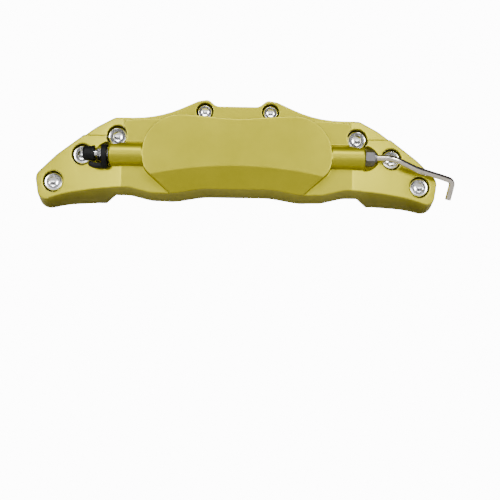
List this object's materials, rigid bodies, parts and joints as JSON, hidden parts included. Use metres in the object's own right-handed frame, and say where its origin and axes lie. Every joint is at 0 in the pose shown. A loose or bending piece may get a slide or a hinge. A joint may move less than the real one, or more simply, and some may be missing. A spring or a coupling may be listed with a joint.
{
  "type": "brake caliper cover",
  "caption": "Hollow cast cover shaped like a multi-piston brake caliper, with cap screws in deep bosses, a capped bleed screw and a bent brake pipe.",
  "frame": {"origin": "bottom centre of the bounding box", "axes": "+X along the cover towards the brake pipe, -Y out of its face, +Z from its inner edge up to its two ears"},
  "size_m": [0.292, 0.046, 0.0739],
  "materials": {
    "gold_paint": "satin metallic paint on the outside, bare grey casting inside",
    "chrome_screw": "bright chrome",
    "zinc_steel": "dull zinc plate",
    "nickel_pipe": "bright nickel plate",
    "black_rubber": "matt moulded rubber"
  },
  "bodies": {
    "cover": {"cover_shell": "gold_paint", "outer_screw_left": "chrome_screw", "outer_screw_right": "chrome_screw", "middle_screw_left": "chrome_screw", "middle_screw_right": "chrome_screw", "upper_screw_left": "chrome_screw", "upper_screw_right": "chrome_screw", "ear_screw_left": "chrome_screw", "ear_screw_right": "chrome_screw", "bleed_screw": "chrome_screw", "bleed_screw_clip": "zinc_steel", "cap_ring": "black_rubber", "cap_strap": "black_rubber", "flare_nut": "zinc_steel"},
    "pipe": {"brake_pipe": "nickel_pipe", "pipe_clip": "zinc_steel"},
    "cap": {"dust_cap": "black_rubber"}
  },
  "joints": [
    {"name": "pipe_swivel", "type": "hinge", "parent": "cover", "child": "pipe", "pos_m": [0.08092, -0.015, 0.03405], "axis": [1, 0, 0], "range_deg": [-70, 8]},
    {"name": "dust_cap_pull", "type": "slide", "parent": "cover", "child": "cap", "axis": [-1, 0, 0], "range_m": [0, 0.01], "deforming": ["cap_strap"]}
  ]
}
